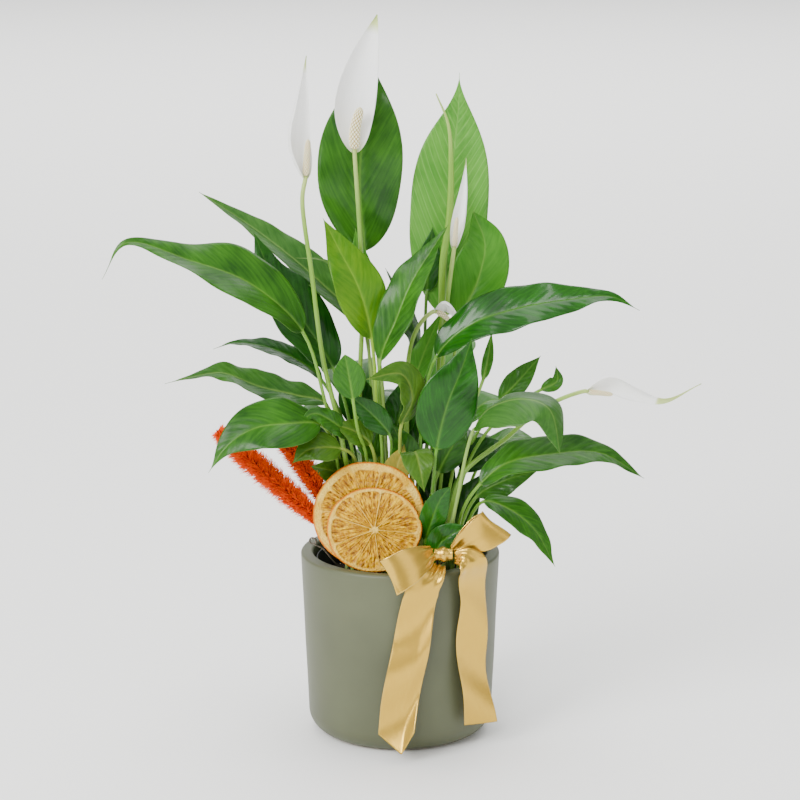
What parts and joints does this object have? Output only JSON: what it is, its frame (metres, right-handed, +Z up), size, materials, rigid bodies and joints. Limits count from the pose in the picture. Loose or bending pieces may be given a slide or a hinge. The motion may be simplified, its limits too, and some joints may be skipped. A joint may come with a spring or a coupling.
{
  "type": "potted peace lily",
  "caption": "Peace lily with white flowers in a matt sage ceramic cover pot, dressed with a gold ribbon bow, dried orange slices and orange grass plumes.",
  "frame": {"origin": "centre of the cover pot's flat foot, on the table", "axes": "+Z up along the pot's axis, -Y towards the front where the bow and orange slices are, +X to the viewer's right"},
  "size_m": [0.3955, 0.2329, 0.4871],
  "materials": {
    "sage_ceramic": "matte",
    "black_plastic": "satin",
    "potting_soil": "matte",
    "leaf_dark": "satin",
    "leaf_light": "satin",
    "stalk_green": "satin",
    "spathe_white": "satin",
    "spadix_cream": "matte",
    "dried_orange": "satin",
    "dyed_plume": "matte",
    "gold_satin": "satin",
    "florist_wire": "satin",
    "bamboo_pick": "matte"
  },
  "bodies": {
    "root": {"bow_knot": "gold_satin", "bow_loop_left": "gold_satin", "bow_loop_right": "gold_satin", "bow_wire": "florist_wire", "cover_pot": "sage_ceramic", "flower_stalk_narrow": "stalk_green", "flower_stalk_nodding": "stalk_green", "flower_stalk_open": "stalk_green", "flower_stalk_reaching": "stalk_green", "flower_stalk_slim": "stalk_green", "leaf_back_left": "leaf_dark", "leaf_back_low": "leaf_dark", "leaf_back_middle": "leaf_dark", "leaf_back_right": "leaf_light", "leaf_bright": "leaf_light", "leaf_diagonal": "leaf_dark", "leaf_edge_on": "leaf_dark", "leaf_front_arching": "leaf_light", "leaf_front_glossy": "leaf_dark", "leaf_front_lance": "leaf_dark", "leaf_furled": "leaf_light", "leaf_left_drooping": "leaf_light", "leaf_left_long": "leaf_dark", "leaf_left_low": "leaf_dark", "leaf_left_narrow": "leaf_light", "leaf_left_shaded": "leaf_dark", "leaf_left_thin": "leaf_dark", "leaf_lime": "leaf_light", "leaf_olive_arching": "leaf_light", "leaf_olive_centre": "leaf_light", "leaf_olive_left": "leaf_light", "leaf_pale_lance": "leaf_light", "leaf_right_back_small": "leaf_dark", "leaf_right_hanging": "leaf_light", "leaf_right_long": "leaf_dark", "leaf_right_low": "leaf_light", "leaf_right_short": "leaf_dark", "leaf_tall_left": "leaf_dark", "leaf_tall_right": "leaf_light", "leaf_young_round": "leaf_light", "nursery_pot": "black_plastic", "orange_slice_large": "dried_orange", "orange_slice_small": "dried_orange", "plume_long": "dyed_plume", "plume_short": "dyed_plume", "ribbon_tail_left": "gold_satin", "ribbon_tail_right": "gold_satin", "slice_pick": "bamboo_pick", "slice_wire": "florist_wire", "soil": "potting_soil", "spadix_narrow": "spadix_cream", "spadix_nodding": "spadix_cream", "spadix_open": "spadix_cream", "spadix_reaching": "spadix_cream", "spadix_slim": "spadix_cream", "spathe_narrow": "spathe_white", "spathe_nodding": "spathe_white", "spathe_open": "spathe_white", "spathe_reaching": "spathe_white", "spathe_slim": "spathe_white"}
  },
  "joints": []
}
